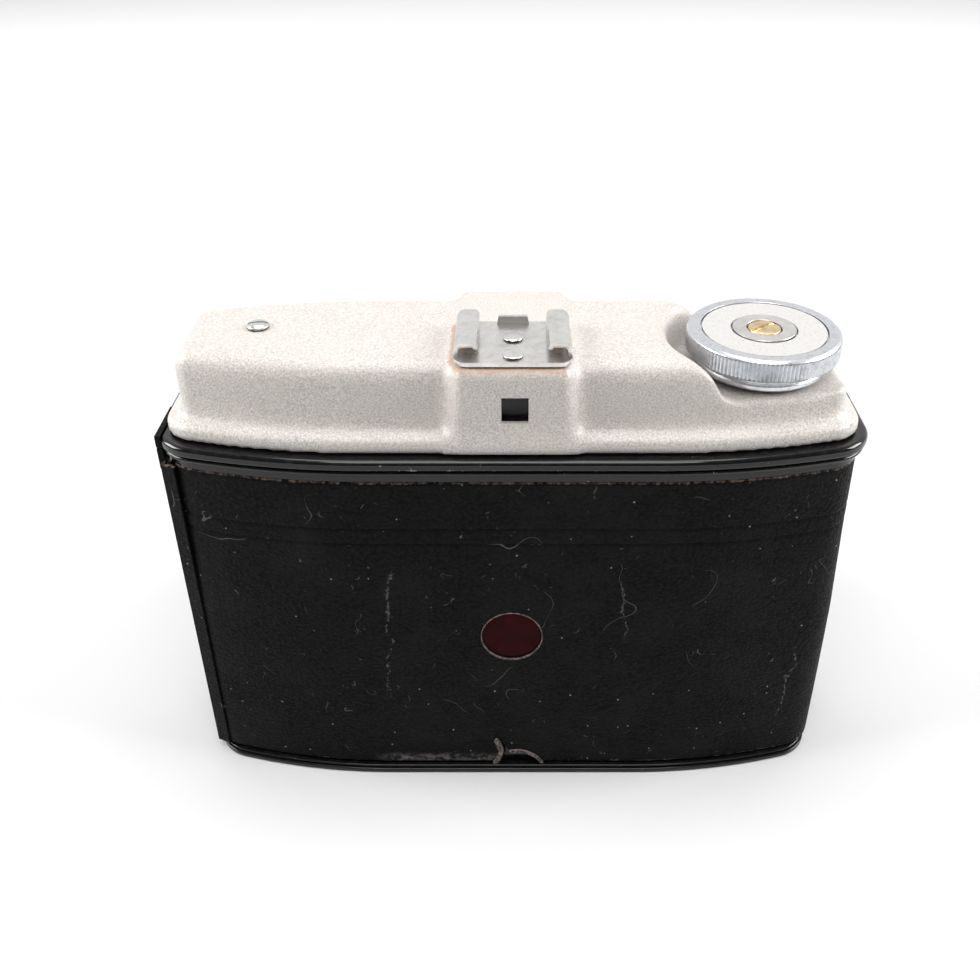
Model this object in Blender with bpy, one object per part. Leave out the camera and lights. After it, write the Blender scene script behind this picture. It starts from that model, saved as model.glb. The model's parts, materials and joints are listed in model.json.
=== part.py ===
"""A metal roll-film viewfinder camera of the 1950s, for 6 x 6 cm pictures on 120 film.

The back faces -Y, the lens faces +Y, the top +Z. The origin is on the underside of the base plate, midway
between the two sides and between the back and the front of the body. Sizes are in millimetres and become
metres in finish().
"""

import math

import bmesh
import bpy
from mathutils import Matrix, Vector

MM = 0.001

# Plan of the body: flat in the middle, bowed towards the ends, with round corners.
HALF_DEPTH = 21.0
FLAT_END = 27.0
BOW = 0.004
BOW_END = 61.3
CORNER_RADIUS = 9.5
BOW_STEPS = 3
CORNER_STEPS = 5

# Heights.
BASE_TOP = 1.2
SHELL_LOW = 1.5
FOOT_TOP = 2.0
LEATHER_LOW = 2.3
LEATHER_HIGH = 77.2
SHELL_HIGH = 80.3
RIM = 82.7
TOP = 99.8

# The film path: the picture is 56 mm square and lies upright behind the lens.
LENS_Z = 39.55
FILM_Y = -12.5
GATE_HALF = 28.0
SPOOL_X = 47.7
SPOOL_LOW = 7.25
SPOOL_HIGH = 71.85
ROLLER_X = 31.9
ROLLER_Y = -10.3

# The back door.
PARTING = -6.5
HINGE_X = -67.9
COVER_TOP_X = (-67.8, -66.7)
STUD_Y = -8.2
STUD_Z = 42.0

# The top.
PLATFORM = 91.7
RECESS_RADIUS = 16.2
KNOB_TOP = 99.7
SCREW_X = -48.3
RIVET_PLACES = {"front": -7.4, "rear": -14.5}
CLEAR = 0.3

MATERIALS = {
    "hammered_paint": ((0.72, 0.70, 0.67), 0.45, 0.3),
    "black_paint": ((0.012, 0.012, 0.013), 0.25, 0.0),
    "leather": ((0.02, 0.019, 0.019), 0.6, 0.0),
    "steel": ((0.62, 0.61, 0.6), 0.35, 1.0),
    "aluminium": ((0.75, 0.76, 0.78), 0.35, 1.0),
    "brass": ((0.62, 0.47, 0.25), 0.4, 1.0),
    "ruby": ((0.2, 0.01, 0.015), 0.2, 0.0),
    "glass": ((0.85, 0.88, 0.9), 0.05, 0.0),
    "matt_black": ((0.01, 0.01, 0.01), 0.8, 0.0),
    "disc_white": ((0.85, 0.85, 0.84), 0.4, 0.2),
}


# Points and outlines.


def level(plan, height):
    """The plan outline at one height."""
    return [Vector((x, y, height)) for x, y in plan]


def outline(inset):
    """Plan of the body, moved in by inset."""
    quarter = []
    for step in range(BOW_STEPS + 1):
        x = FLAT_END + (BOW_END - FLAT_END) * step / BOW_STEPS
        y = HALF_DEPTH - BOW * (x - FLAT_END) ** 2
        out = Vector((2 * BOW * (x - FLAT_END), 1.0)).normalized()
        quarter.append(Vector((x, y)) - out * inset)
    centre = Vector((x, y)) - out * CORNER_RADIUS
    start = math.atan2(out.y, out.x)
    for step in range(1, CORNER_STEPS + 1):
        angle = start * (1 - step / CORNER_STEPS)
        quarter.append(centre + Vector((math.cos(angle), math.sin(angle))) * (CORNER_RADIUS - inset))
    right = [(p.x, p.y) for p in quarter] + [(p.x, -p.y) for p in reversed(quarter)]
    return right + [(-x, -y) for x, y in right]


def rectangle(x0, x1, y0, y1, chamfer=0.0):
    """A rectangle, with its corners cut off when chamfer is more than nothing."""
    c = chamfer
    if c == 0.0:
        return [(x0, y0), (x1, y0), (x1, y1), (x0, y1)]
    return [
        (x0 + c, y0), (x1 - c, y0), (x1, y0 + c), (x1, y1 - c),
        (x1 - c, y1), (x0 + c, y1), (x0, y1 - c), (x0, y0 + c),
    ]


def turned_loop(radius, distance, centre, axis, count, depth):
    """One ring of a turned piece; depth pulls in every other point, for teeth."""
    loop = []
    for i in range(count):
        angle = 2 * math.pi * i / count
        r = radius - (depth if i % 2 else 0.0)
        a, b = r * math.cos(angle), r * math.sin(angle)
        if axis == "Z":
            loop.append(Vector((centre[0] + a, centre[1] + b, distance)))
        elif axis == "Y":
            loop.append(Vector((centre[0] + a, distance, centre[1] + b)))
        else:
            loop.append(Vector((distance, centre[0] + a, centre[1] + b)))
    return loop


# Solids, each returned as a bmesh.


def stack(loops, ring=False):
    """Joins equal loops in turn, into a solid with two caps or, with ring, into a closed tube."""
    bm = bmesh.new()
    rows = [[bm.verts.new(p) for p in loop] for loop in loops]
    pairs = list(zip(rows, rows[1:]))
    if ring:
        pairs.append((rows[-1], rows[0]))
    for low, high in pairs:
        for i, vert in enumerate(low):
            j = (i + 1) % len(low)
            bm.faces.new((vert, low[j], high[j], high[i]))
    if not ring:
        bm.faces.new(rows[0])
        bm.faces.new(rows[-1])
    bmesh.ops.recalc_face_normals(bm, faces=bm.faces)
    return bm


def prism(plan, low, high, axis="Z"):
    """A plan outline given thickness: (x, y) along Z, (x, z) along Y or (y, z) along X."""
    place = {
        "Z": lambda a, b, h: Vector((a, b, h)),
        "Y": lambda a, b, h: Vector((a, h, b)),
        "X": lambda a, b, h: Vector((h, a, b)),
    }[axis]
    return stack([[place(a, b, h) for a, b in plan] for h in (low, high)])


def box(x0, x1, y0, y1, z0, z1):
    return prism(rectangle(x0, x1, y0, y1), z0, z1)


def lathe(profile, centre, axis="Z", count=32, ring=True):
    """Turns (radius, distance[, tooth depth]) places about the axis through centre."""
    loops = [turned_loop(p[0], p[1], centre, axis, count, p[2] if len(p) > 2 else 0.0) for p in profile]
    return stack(loops, ring)


def rod(radius, low, high, centre, axis="Z", count=32):
    return lathe([(radius, low), (radius, high)], centre, axis, count, ring=False)


def layers(rows):
    """A solid from (inset, height) rows of the body's outline."""
    return stack([level(outline(inset), height) for inset, height in rows])


# Objects, materials and Booleans.


def clear_scene():
    for old in list(bpy.data.objects):
        bpy.data.objects.remove(old, do_unlink=True)


def make_material(name):
    colour, roughness, metallic = MATERIALS[name]
    material = bpy.data.materials.new(name)
    material.use_nodes = True
    shader = material.node_tree.nodes["Principled BSDF"]
    shader.inputs["Base Color"].default_value = (*colour, 1.0)
    shader.inputs["Roughness"].default_value = roughness
    shader.inputs["Metallic"].default_value = metallic
    return material


def finish(name, bm):
    """Turns a bmesh in millimetres into an object in metres."""
    mesh = bpy.data.meshes.new(name)
    bm.to_mesh(mesh)
    bm.free()
    mesh.transform(Matrix.Scale(MM, 4))
    mesh.shade_smooth()
    mesh.set_sharp_from_angle(angle=math.radians(30))
    made = bpy.data.objects.new(name, mesh)
    bpy.context.scene.collection.objects.link(made)
    return made


def piece(name, bm, material, owner=None):
    """One sub-part; owner is the empty of the body that it moves with."""
    made = finish(name, bm)
    made.data.materials.append(bpy.data.materials.get(material) or make_material(material))
    if owner is not None:
        made.parent = owner
        made.matrix_parent_inverse = owner.matrix_world.inverted()
    return made


def combine(target, operation, bm):
    """Adds a Boolean to target, whose tool stays in the file as a hidden wire object."""
    tool = finish(f"{target.name}_tool_{len(target.modifiers)}", bm)
    tool.hide_render = True
    tool.display_type = "WIRE"
    step = target.modifiers.new(operation.lower(), "BOOLEAN")
    step.operation = operation
    step.solver = "EXACT"
    step.object = tool
    return tool


def cut(target, bm):
    return combine(target, "DIFFERENCE", bm)


def join(target, bm):
    return combine(target, "UNION", bm)


def carrier(name, x, y, z, parent=None):
    """An empty on a joint's axis."""
    empty = bpy.data.objects.new(name, None)
    empty.empty_display_size = 0.01
    bpy.context.scene.collection.objects.link(empty)
    empty.location = Vector((x, y, z)) * MM
    if parent is not None:
        empty.parent = parent
        empty.matrix_parent_inverse = parent.matrix_world.inverted()
    bpy.context.view_layer.update()
    return empty


# The body.


def make_base():
    base = piece("base_plate", layers([
        (0.9, 0.0), (0.5, 0.4), (0.5, BASE_TOP), (4.0, BASE_TOP), (4.0, 3.0), (4.8, 3.0), (4.8, BASE_TOP),
    ]), "black_paint")
    bush_place = (0.0, 11.0)
    cut(base, rod(5.5, -5.0, 8.0, bush_place))
    bush = [(3.1, 5.0), (3.1, 0.0), (5.2, 0.0), (5.2, 6.0)]
    piece("tripod_bush", lathe(bush, bush_place, ring=False), "brass")


def make_top_plate():
    plate = piece("top_plate", layers([
        (4.8, 81.4), (4.8, 79.6), (4.0, 79.6), (4.0, 81.4), (1.1, 81.4), (1.1, 80.6),
        (0.4, 80.6), (0.0, 81.0), (0.0, 82.2), (0.5, RIM),
    ]), "black_paint")
    cut(plate, rod(3.6, 70.0, 90.0, (SPOOL_X, 0.0)))
    cut(plate, hinge_relief())


def shell_ring():
    """The wall of the body: a low foot, a step for the leather, a painted band and a bead at the top."""
    rows = [
        (3.6, SHELL_LOW), (0.9, SHELL_LOW), (0.9, FOOT_TOP), (2.6, FOOT_TOP), (2.6, 77.5), (1.5, 77.5),
        (1.5, 79.1), (0.4, 79.4), (0.4, 80.1), (0.8, SHELL_HIGH), (3.6, SHELL_HIGH),
    ]
    return stack([level(outline(inset), height) for inset, height in rows], ring=True)


def leather_ring():
    rows = [(2.3, LEATHER_LOW), (1.5, LEATHER_LOW), (1.5, LEATHER_HIGH), (2.3, LEATHER_HIGH)]
    return stack([level(outline(inset), height) for inset, height in rows], ring=True)


def make_front():
    shell = piece("front_shell", shell_ring(), "black_paint")
    cut(shell, box(-90, 90, -60, PARTING + CLEAR / 2, -10, 110))
    cut(shell, rod(24.0, 5.0, 30.0, (0.0, LENS_Z), "Y", 36))
    cut(shell, hinge_relief())
    leather = piece("front_leather", leather_ring(), "leather")
    cut(leather, box(-90, 90, -60, PARTING + CLEAR / 2, -10, 110))
    cut(leather, box(-90, -20, -50, PARTING + 6.1, -9, 109))
    cut(leather, rod(30.5, 5.0, 30.0, (0.0, LENS_Z), "Y", 40))
    cut(leather, latch_window())


# The film chamber.


def make_film_frame():
    """The gate plate with its four lugs for the rollers, and the light box that narrows towards the lens."""
    mid, wide = 29.3, 34.3
    z0, z1, z2, z3 = 4.5, 8.1, 71.0, 74.6
    half = [(wide, z0), (wide, z1), (mid, z1), (mid, z2), (wide, z2), (wide, z3)]
    plan = half + [(-x, z) for x, z in reversed(half)]
    frame = piece("film_frame", prism(plan, FILM_Y, FILM_Y + 4.0, "Y"), "matt_black")
    join(frame, light_box(28.8, 17.8, FILM_Y + 3.0, 16.9))
    cut(frame, light_box(GATE_HALF, 17.0, FILM_Y - 0.5, 17.3))
    for side in (-1, 1):
        cut(frame, rod(1.2, 0.0, 9.0, (side * ROLLER_X, ROLLER_Y), count=16))
        cut(frame, rod(1.2, 70.0, 80.0, (side * ROLLER_X, ROLLER_Y), count=16))


def light_box(half_rear, half_front, rear, front):
    loops = []
    for half, y in ((half_rear, rear), (half_front, front)):
        corners = rectangle(-half, half, LENS_Z - half, LENS_Z + half)
        loops.append([Vector((x, y, z)) for x, z in corners])
    return stack(loops)


def make_rollers():
    profile = [(0.9, 4.8), (0.9, 8.4), (2.0, 8.4), (2.0, 70.7), (0.9, 70.7), (0.9, 74.3)]
    for side, name in ((-1, "left"), (1, "right")):
        pivot = carrier(f"roller_{name}_axis", side * ROLLER_X, ROLLER_Y, LENS_Z)
        turned = lathe(profile, (side * ROLLER_X, ROLLER_Y), count=20, ring=False)
        piece(f"guide_roller_{name}", turned, "steel", pivot)


def make_spool_pins():
    lower = [(4.5, SHELL_LOW), (4.5, 3.0), (2.4, 3.0), (2.4, 10.0), (1.8, 10.8)]
    upper = [(4.5, 81.1), (4.5, 80.0), (2.4, 80.0), (2.4, 69.6), (1.8, 68.8)]
    left, right = (-SPOOL_X, 0.0), (SPOOL_X, 0.0)
    piece("supply_pin_lower", lathe(lower, left, count=20, ring=False), "steel")
    piece("takeup_pin_lower", lathe(lower, right, count=20, ring=False), "steel")
    piece("supply_pin_upper", lathe(upper, left, count=20, ring=False), "steel")


def make_tension_spring():
    """A bowed leaf on the left end wall, which rubs on the full roll of film."""
    loops = []
    for step in range(9):
        t = step / 8
        z = 16.0 + 47.0 * t
        x = -64.2 + 4.0 * math.sin(math.pi * t)
        loops.append([Vector((x + a, b, z)) for a, b in ((0, -4), (0.3, -4), (0.3, 4), (0, 4))])
    piece("film_tension_spring", stack(loops), "steel")


def make_takeup_spool():
    axis = carrier("takeup_axis", SPOOL_X, 0.0, SPOOL_LOW)
    spool = piece("takeup_spool", lathe([
        (2.9, SPOOL_LOW), (12.5, SPOOL_LOW), (12.5, SPOOL_LOW + 1), (5.6, SPOOL_LOW + 1.2),
        (5.6, SPOOL_HIGH - 1.2), (12.5, SPOOL_HIGH - 1), (12.5, SPOOL_HIGH), (2.9, SPOOL_HIGH),
    ], (SPOOL_X, 0.0), count=32), "black_paint", axis)
    cut(spool, box(SPOOL_X - 5.15, SPOOL_X + 5.15, -1.15, 1.15, 67.0, 75.0))


# Winding.


def make_winder():
    """The knob, its shaft and key, which lift by 4.2 mm with their sleeve, to free the spool, and turn."""
    centre = (SPOOL_X, 0.0)
    piece("shaft_bush", lathe([(2.35, 79.8), (3.3, 79.8), (3.3, 83.0), (5.0, 83.0), (5.0, 83.6), (2.35, 83.6)],
                              centre, count=24), "brass")
    lift = carrier("knob_lift_axis", SPOOL_X, 0.0, 85.2)
    sleeve = [(2.3, 85.2), (4.0, 85.2), (4.0, 86.4), (2.3, 86.4)]
    piece("lift_sleeve", lathe(sleeve, centre, count=24), "brass", lift)
    turn = carrier("knob_turn_axis", SPOOL_X, 0.0, 90.0, lift)
    key = piece("winding_key", rod(3.2, 72.3, 75.0, centre, count=24), "steel", turn)
    join(key, box(SPOOL_X - 4.75, SPOOL_X + 4.75, -0.75, 0.75, 67.9, 72.8))
    piece("winding_shaft", rod(2.0, 75.3, 96.3, centre, count=24), "steel", turn)
    piece("ratchet_wheel", lathe([(2.3, 83.9), (7.0, 83.9, 0.9), (7.0, 84.9, 0.9), (2.3, 84.9)],
                                 centre, count=32), "steel", turn)
    piece("knob_base", lathe([(2.4, 92.3), (11.9, 92.3), (12.3, 92.7), (12.3, 94.8), (2.4, 94.8)],
                             centre, count=36), "aluminium", turn)
    piece("knob_disc", lathe([
        (2.4, 95.1), (13.7, 95.1), (14.64, 95.5, 0.45), (14.64, 98.9, 0.45),
        (13.9, KNOB_TOP), (12.0, KNOB_TOP), (12.0, 99.0), (2.4, 99.0),
    ], centre, count=72), "aluminium", turn)
    piece("knob_inlay", lathe([(6.3, 99.3), (11.7, 99.3), (11.7, 99.6), (6.3, 99.6)], centre, count=36),
          "disc_white", turn)
    piece("knob_washer", lathe([(3.4, 99.3), (6.0, 99.3), (6.0, 99.8), (3.4, 99.8)], centre, count=32),
          "steel", turn)
    screw = piece("knob_screw", lathe([(1.6, 96.6), (1.6, 99.3), (3.1, 99.3), (3.1, 99.7), (2.4, 100.1)],
                                      centre, count=32, ring=False), "brass", turn)
    cut(screw, box(SPOOL_X - 5, SPOOL_X + 5, -0.35, 0.35, 99.6, 102))


def make_pawl():
    """The click pawl stands square to the ratchet wheel, just clear of its teeth, and swings aside."""
    pivot = Vector((37.0, 7.5))
    along = (Vector((SPOOL_X, 0.0)) - pivot).normalized()
    across = Vector((-along.y, along.x))
    reach = (Vector((SPOOL_X, 0.0)) - pivot).length - 7.4
    head = [(1.0, -1.8), (-1.0, -1.8), (-1.8, -1.0), (-1.8, 1.0), (-1.0, 1.8), (1.0, 1.8)]
    plan = [tuple(pivot + along * a + across * b) for a, b in head + [(reach, 0.5), (reach, -0.5)]]
    axis = carrier("pawl_axis", pivot.x, pivot.y, 84.0)
    pawl = piece("ratchet_pawl", prism(plan, 83.9, 84.9), "steel", axis)
    cut(pawl, rod(0.9, 80.0, 90.0, tuple(pivot), count=16))


# The pressed top housing and the finder.


def housing_skin(inset):
    """The main pressing: a skirt, a ledge and a wall that rounds over into the top, moved in by inset."""
    low = 83.0 if inset == 0 else 80.0
    return layers([
        (2.6 + inset, low), (2.6 + inset, 85.5 - 0.4 * inset), (2.9 + inset, 86.2 - 0.4 * inset),
        (4.3 + inset, 87.0 - 0.4 * inset), (4.9 + inset, 87.9 - 0.4 * inset), (4.9 + inset, 97.2 - 0.4 * inset),
        (5.5 + 0.8 * inset, 98.9 - 0.8 * inset), (7.1 + 0.5 * inset, TOP - inset),
    ])


def finder_block(inset):
    """The block in the middle of the top: flush with the skirt at the back, moved in by inset."""
    low = 83.05 if inset == 0 else 80.0
    rows = [(11.8, 18.4, low), (11.5, 18.3, 96.6 - inset)]
    rows += [(11.0, 17.8, 98.6 - inset), (9.7, 16.5, 99.9 - inset)]
    loops = []
    for wide, deep, height in rows:
        plan = rectangle(inset - wide, wide - inset, inset - deep, deep - inset, 1.4)
        loops.append(level(plan, height))
    return stack(loops)


def knob_recess(outset):
    """The hollow round the knob: a cone that widens upwards, moved out by outset."""
    rise = 30.0
    wide = RECESS_RADIUS + 1.05 * outset - 0.39 * outset
    profile = [(wide, PLATFORM - outset), (wide + 0.39 * rise, PLATFORM - outset + rise)]
    return lathe(profile, (SPOOL_X, 0.0), count=44, ring=False)


def make_housing():
    sheet = 0.9
    housing = piece("top_housing", housing_skin(0.0), "hammered_paint")
    cut(housing, knob_recess(0.0))
    join(housing, finder_block(0.0))
    hollow = cut(housing, housing_skin(sheet))
    cut(hollow, knob_recess(sheet))
    cut(housing, finder_block(sheet + 0.1))
    cut(housing, box(-2.1, 2.8, -25, -12, 89.4, 94.6))
    cut(housing, box(-7.8, 7.8, 12, 26, 88.2, 96.0))
    cut(housing, rod(3.0, 85.0, 100.0, (SPOOL_X, 0.0), count=24))
    cut(housing, rod(1.5, 95.0, 110.0, (SCREW_X, 0.0), count=20))
    for place in RIVET_PLACES.values():
        cut(housing, rod(1.1, 95.0, 110.0, (0.0, place), count=16))


def make_finder():
    rows = [(-3.6, 4.3, 88.2, 95.8, -14.8), (-8.8, 8.8, 87.2, 97.0, 15.6)]
    wall = 0.5
    loops = []
    for grow in (0.0, wall):
        ends = rows if grow == 0.0 else list(reversed(rows))
        for x0, x1, z0, z1, y in ends:
            corners = rectangle(x0 + grow, x1 - grow, z0 + grow, z1 - grow)
            loops.append([Vector((x, y, z)) for x, z in corners])
    piece("finder_tube", stack(loops, ring=True), "matt_black")
    piece("finder_rear_lens", box(-3.0, 3.7, -16.6, -15.2, 88.8, 95.2), "glass")
    piece("finder_front_lens", box(-8.5, 8.5, 16.0, 17.0, 87.6, 96.6), "glass")


def make_shoe():
    """The accessory shoe: one folded sheet with two inturned lips and a stop at its front."""
    back, front, under = -17.25, 0.07, 100.2
    rail = [(10.6, under), (10.6, 103.1), (10.2, 103.5), (6.25, 103.5)]
    rail += [(6.25, 102.7), (9.8, 102.7), (9.8, 101.0)]
    plan = rail + [(-x, z) for x, z in reversed(rail)]
    shoe = piece("accessory_shoe", prism(plan, back, front, "Y"), "steel")
    join(shoe, box(-2.5, 2.5, front - 0.9, front - 0.1, 100.6, 102.4))
    cut(shoe, box(-20.0, 20.0, back - 1.0, back + 2.6, 101.0, 110.0))
    for name, place in RIVET_PLACES.items():
        cut(shoe, rod(1.1, 95.0, 102.0, (0.0, place), count=16))
        piece(f"shoe_rivet_{name}", lathe([
            (1.4, 97.7), (1.4, 98.4), (0.8, 98.4), (0.8, 101.3), (1.7, 101.3), (1.6, 101.6), (1.0, 101.9),
        ], (0.0, place), count=20, ring=False), "steel")


def make_cover_screw():
    centre = (SCREW_X, 0.0)
    post = [(1.5, 83.0), (2.8, 83.0), (2.8, 98.4), (1.5, 98.4)]
    piece("screw_post", lathe(post, centre, count=20), "steel")
    screw = piece("cover_screw", lathe([(1.1, 88.0), (1.1, 100.1), (2.0, 100.1), (2.0, 100.5), (1.4, 100.9)],
                                       centre, count=20, ring=False), "steel")
    cut(screw, box(SCREW_X - 3, SCREW_X + 3, -0.3, 0.3, 100.45, 102))


# The back door and its hinge.


def make_door():
    door_axis = carrier("door_axis", HINGE_X, PARTING, LENS_Z)
    window = (-0.25, LENS_Z)
    door = piece("back_door", shell_ring(), "black_paint", door_axis)
    cut(door, box(-90, 90, PARTING - CLEAR / 2, 60, -10, 110))
    cut(door, rod(6.1, -30, -10, window, "Y", 40))
    cut(door, hinge_relief())
    leather = piece("back_leather", leather_ring(), "leather", door_axis)
    cut(leather, box(-90, 90, PARTING - CLEAR / 2, 60, -10, 110))
    cut(leather, box(-90, -20, PARTING - 6.1, 50, -9, 109))
    cut(leather, rod(6.33, -30, -10, window, "Y", 40))
    cut(leather, latch_window())
    piece("red_window", rod(7.6, -17.0, -16.5, window, "Y", 40), "ruby", door_axis)
    piece("red_window_ring", lathe([(6.0, -16.2), (8.8, -16.2), (8.8, -15.8), (6.0, -15.8)], window, "Y", 40),
          "steel", door_axis)
    piece("door_catch", rod(1.0, 65.95, 66.7, (STUD_Y, STUD_Z), "X", 20), "steel", door_axis)
    make_pressure_plate(door_axis, window)


def make_pressure_plate(door_axis, window):
    slide = carrier("pressure_axis", 0.0, -13.8, LENS_Z, door_axis)
    plan = rectangle(-30.0, 30.0, LENS_Z - 31.0, LENS_Z + 31.0, 2.0)
    plate = piece("pressure_plate", prism(plan, -14.4, -13.2, "Y"), "matt_black", slide)
    cut(plate, rod(5.0, -20.0, -10.0, window, "Y", 32))
    for side, name in ((-1, "left"), (1, "right")):
        x = side * 20.0
        loops = []
        for step in range(9):
            t = step / 8
            y, z = -17.1 + 1.4 * math.sin(math.pi * t), LENS_Z - 18.0 + 36.0 * t
            loops.append([Vector((x + dx, y + dy, z)) for dx, dy in ((-3, 0), (3, 0), (3, 0.25), (-3, 0.25))])
        piece(f"pressure_spring_{name}", stack(loops), "steel", door_axis)


def leaf_plan(side):
    """Section of one hinge leaf: a knuckle round the pin and a flat that lies against the shell."""
    plan = [(1.85, 5.8), (1.2, 5.8), (1.2, 1.3)]
    for step in range(13):
        angle = math.radians(60 + (350 - 60) * step / 12)
        plan.append((1.15 * math.cos(angle), 1.15 * math.sin(angle)))
    plan.append((1.85, 0.15))
    return [(HINGE_X + a, PARTING + side * b) for a, b in plan]


def cover_plan(side):
    """Section of one half of the leather-covered strip over the hinge; the door's half laps its leather."""
    plan = [(0.9, 1.45), (0.9, 5.9), (-0.3, 5.9), (-0.3, 1.45)]
    if side < 0:
        plan = [(0.9, 1.45), (0.9, 6.1), (2.6, 6.1), (3.3, 6.9)]
        plan += [(3.1, 7.4), (0.3, 6.1), (-0.3, 4.0), (-0.3, 1.45)]
    return [(HINGE_X + a, PARTING + side * b) for a, b in plan]


def make_hinge():
    door_axis = bpy.data.objects["door_axis"]
    low, high, knuckles = 2.8, 76.7, 5
    step = (high - low) / knuckles
    for side, name, owner in ((1, "body", None), (-1, "door", door_axis)):
        leaf = piece(f"hinge_leaf_{name}", prism(leaf_plan(side), low, high), "steel", owner)
        for i in range(knuckles):
            other = (i % 2 == 1) if side == 1 else (i % 2 == 0)
            if other:
                near = sorted((PARTING - side * 3, PARTING + side * 1.5))
                z0, z1 = low + i * step - 0.15, low + (i + 1) * step + 0.15
                cut(leaf, box(HINGE_X - 3, HINGE_X + 3, near[0], near[1], z0, z1))
        cut(leaf, rod(0.8, 0.0, 90.0, (HINGE_X, PARTING), count=16))
    piece("hinge_pin", rod(0.5, low, high, (HINGE_X, PARTING), count=16), "steel")
    body_cover = piece("hinge_cover_body", prism(cover_plan(1), 2.5, 77.0), "leather")
    cap = [(-0.7, 76.0), (-4.9, 76.0), (-4.9, 80.6), (-12.3, 80.6), (-12.3, 83.0), (-0.7, 83.0)]
    join(body_cover, prism(cap, *COVER_TOP_X, "X"))
    door_cover = piece("hinge_cover_door", prism(cover_plan(-1), 2.5, 77.0), "leather", door_axis)
    join(door_cover, box(*COVER_TOP_X, -12.3, -9.2, 76.0, 80.3))


def hinge_relief():
    """The notch at the left end of the rims, in which the top of the hinge strip lies."""
    return box(-80.0, COVER_TOP_X[1] + 0.35, -13.0, -0.35, 77.3, 95.0)


def latch_window():
    """The opening in the leather on the right side, in which the latch lies flush."""
    return box(60.0, 70.0, -10.0, 2.5, 34.0, 53.7)


def make_latch():
    """The slide on the right side, with a notch round the door's stud; it is pushed up by 3 mm to open."""
    plan = [(-9.6, 34.4), (2.1, 34.4), (2.1, 50.2), (-9.6, 50.2), (-9.6, 43.6), (-6.9, 43.6), (-6.9, 37.6),
            (-9.6, 37.6)]
    axis = carrier("latch_axis", 66.3, -3.7, STUD_Z)
    slide = piece("latch_slide", prism(plan, 66.0, 66.5, "X"), "steel", axis)
    join(slide, box(66.2, 66.9, -4.0, 1.0, 45.0, 48.5))


# The lens and shutter.


def make_lens_mount():
    axis = (0.0, LENS_Z)
    piece("lens_cone", lathe([
        (24.2, 18.7), (30.0, 18.7), (30.0, 21.2), (28.2, 22.6),
        (26.4, 43.5), (25.9, 44.0), (23.6, 44.0), (24.2, 24.0),
    ], axis, "Y", 36), "black_paint")
    case = piece("shutter_case", lathe([
        (8.5, 44.3), (25.6, 44.3), (26.0, 44.8), (26.0, 55.6),
        (25.6, 56.0), (24.6, 56.0), (24.6, 45.6), (8.5, 45.6),
    ], axis, "Y", 36), "aluminium")
    cut(case, box(18, 30, 50.1, 52.1, LENS_Z + 0.5, LENS_Z + 8.2))
    cut(case, box(-1.6, 10.8, 52.6, 54.4, LENS_Z + 19.0, LENS_Z + 30.0))
    face = [(11.2, 56.3), (25.2, 56.3), (25.2, 56.9), (24.6, 57.3), (11.2, 57.3)]
    piece("face_plate", lathe(face, axis, "Y", 36), "aluminium")
    piece("lens_barrel", lathe([
        (7.6, 47.3), (13.0, 47.3), (13.0, 48.1), (9.4, 48.1), (9.4, 58.2), (7.6, 58.2),
    ], axis, "Y", 32), "brass")
    bead = [(2.0, 49.0), (7.2, 49.8), (7.2, 51.2), (2.0, 52.0)]
    piece("rear_lens", lathe(bead, axis, "Y", 32, ring=False), "glass")
    socket = [(2.2, -26.3), (2.2, -29.0), (1.0, -29.0), (1.0, -27.3)]
    piece("sync_socket", lathe(socket, (50.5, LENS_Z - 6.0), "X", 20, ring=False), "aluminium")


def make_lens_controls():
    axis = (0.0, LENS_Z)
    focus = carrier("focus_axis", 0.0, 60.0, LENS_Z)
    piece("focus_ring", lathe([
        (9.8, 57.7), (12.9, 57.7), (13.4, 58.2, 0.4), (13.4, 61.8, 0.4), (12.7, 62.4), (9.4, 62.4),
        (9.4, 59.4), (8.0, 59.4), (8.0, 58.6), (9.8, 58.6),
    ], axis, "Y", 40), "aluminium", focus)
    dome = [(9.0, 59.7), (9.0, 60.4), (6.5, 61.2), (2.5, 61.6)]
    piece("front_lens", lathe(dome, axis, "Y", 32, ring=False), "glass", focus)
    stop = carrier("aperture_axis", 0.0, 58.0, LENS_Z)
    flat = [(14.0, 57.6), (22.0, 57.6), (22.0, 58.6), (14.0, 58.6)]
    ring = piece("aperture_ring", lathe(flat, axis, "Y", 36), "aluminium", stop)
    join(ring, box(-26.8, -21.0, 57.7, 58.5, LENS_Z - 1.5, LENS_Z + 1.5))
    time = carrier("time_axis", 0.0, 53.5, LENS_Z)
    collar = [(15.0, 53.0), (18.0, 53.0), (18.0, 54.0), (15.0, 54.0)]
    lever = piece("time_lever", lathe(collar, axis, "Y", 36), "steel", time)
    join(lever, box(-1.2, 1.2, 53.1, 53.9, LENS_Z + 16.5, LENS_Z + 29.0))


def make_shutter():
    release_z = LENS_Z + 6.0
    pivot = carrier("release_axis", 17.0, 51.0, release_z)
    plan = [(15.4, -1.5), (15.4, 1.5), (27.5, 1.3), (28.5, 2.6), (31.5, 2.6), (31.5, -1.0), (27.5, -1.3)]
    arm = [(x, release_z + z) for x, z in plan]
    lever = piece("release_lever", prism(arm, 50.5, 51.7, "Y"), "aluminium", pivot)
    cut(lever, rod(0.6, 45.0, 60.0, (17.0, release_z), "Y", 16))
    blade_pivot = carrier("blade_axis", -16.0, 46.5, LENS_Z)
    plan = [(-18.0, -1.2), (-18.0, 1.2)]
    for step in range(17):
        angle = math.radians(150 - 300 * step / 16)
        plan.append((9.5 * math.cos(angle), 9.5 * math.sin(angle)))
    blade = prism([(x, LENS_Z + z) for x, z in plan], 46.3, 46.7, "Y")
    piece("shutter_blade", blade, "steel", blade_pivot)


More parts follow.
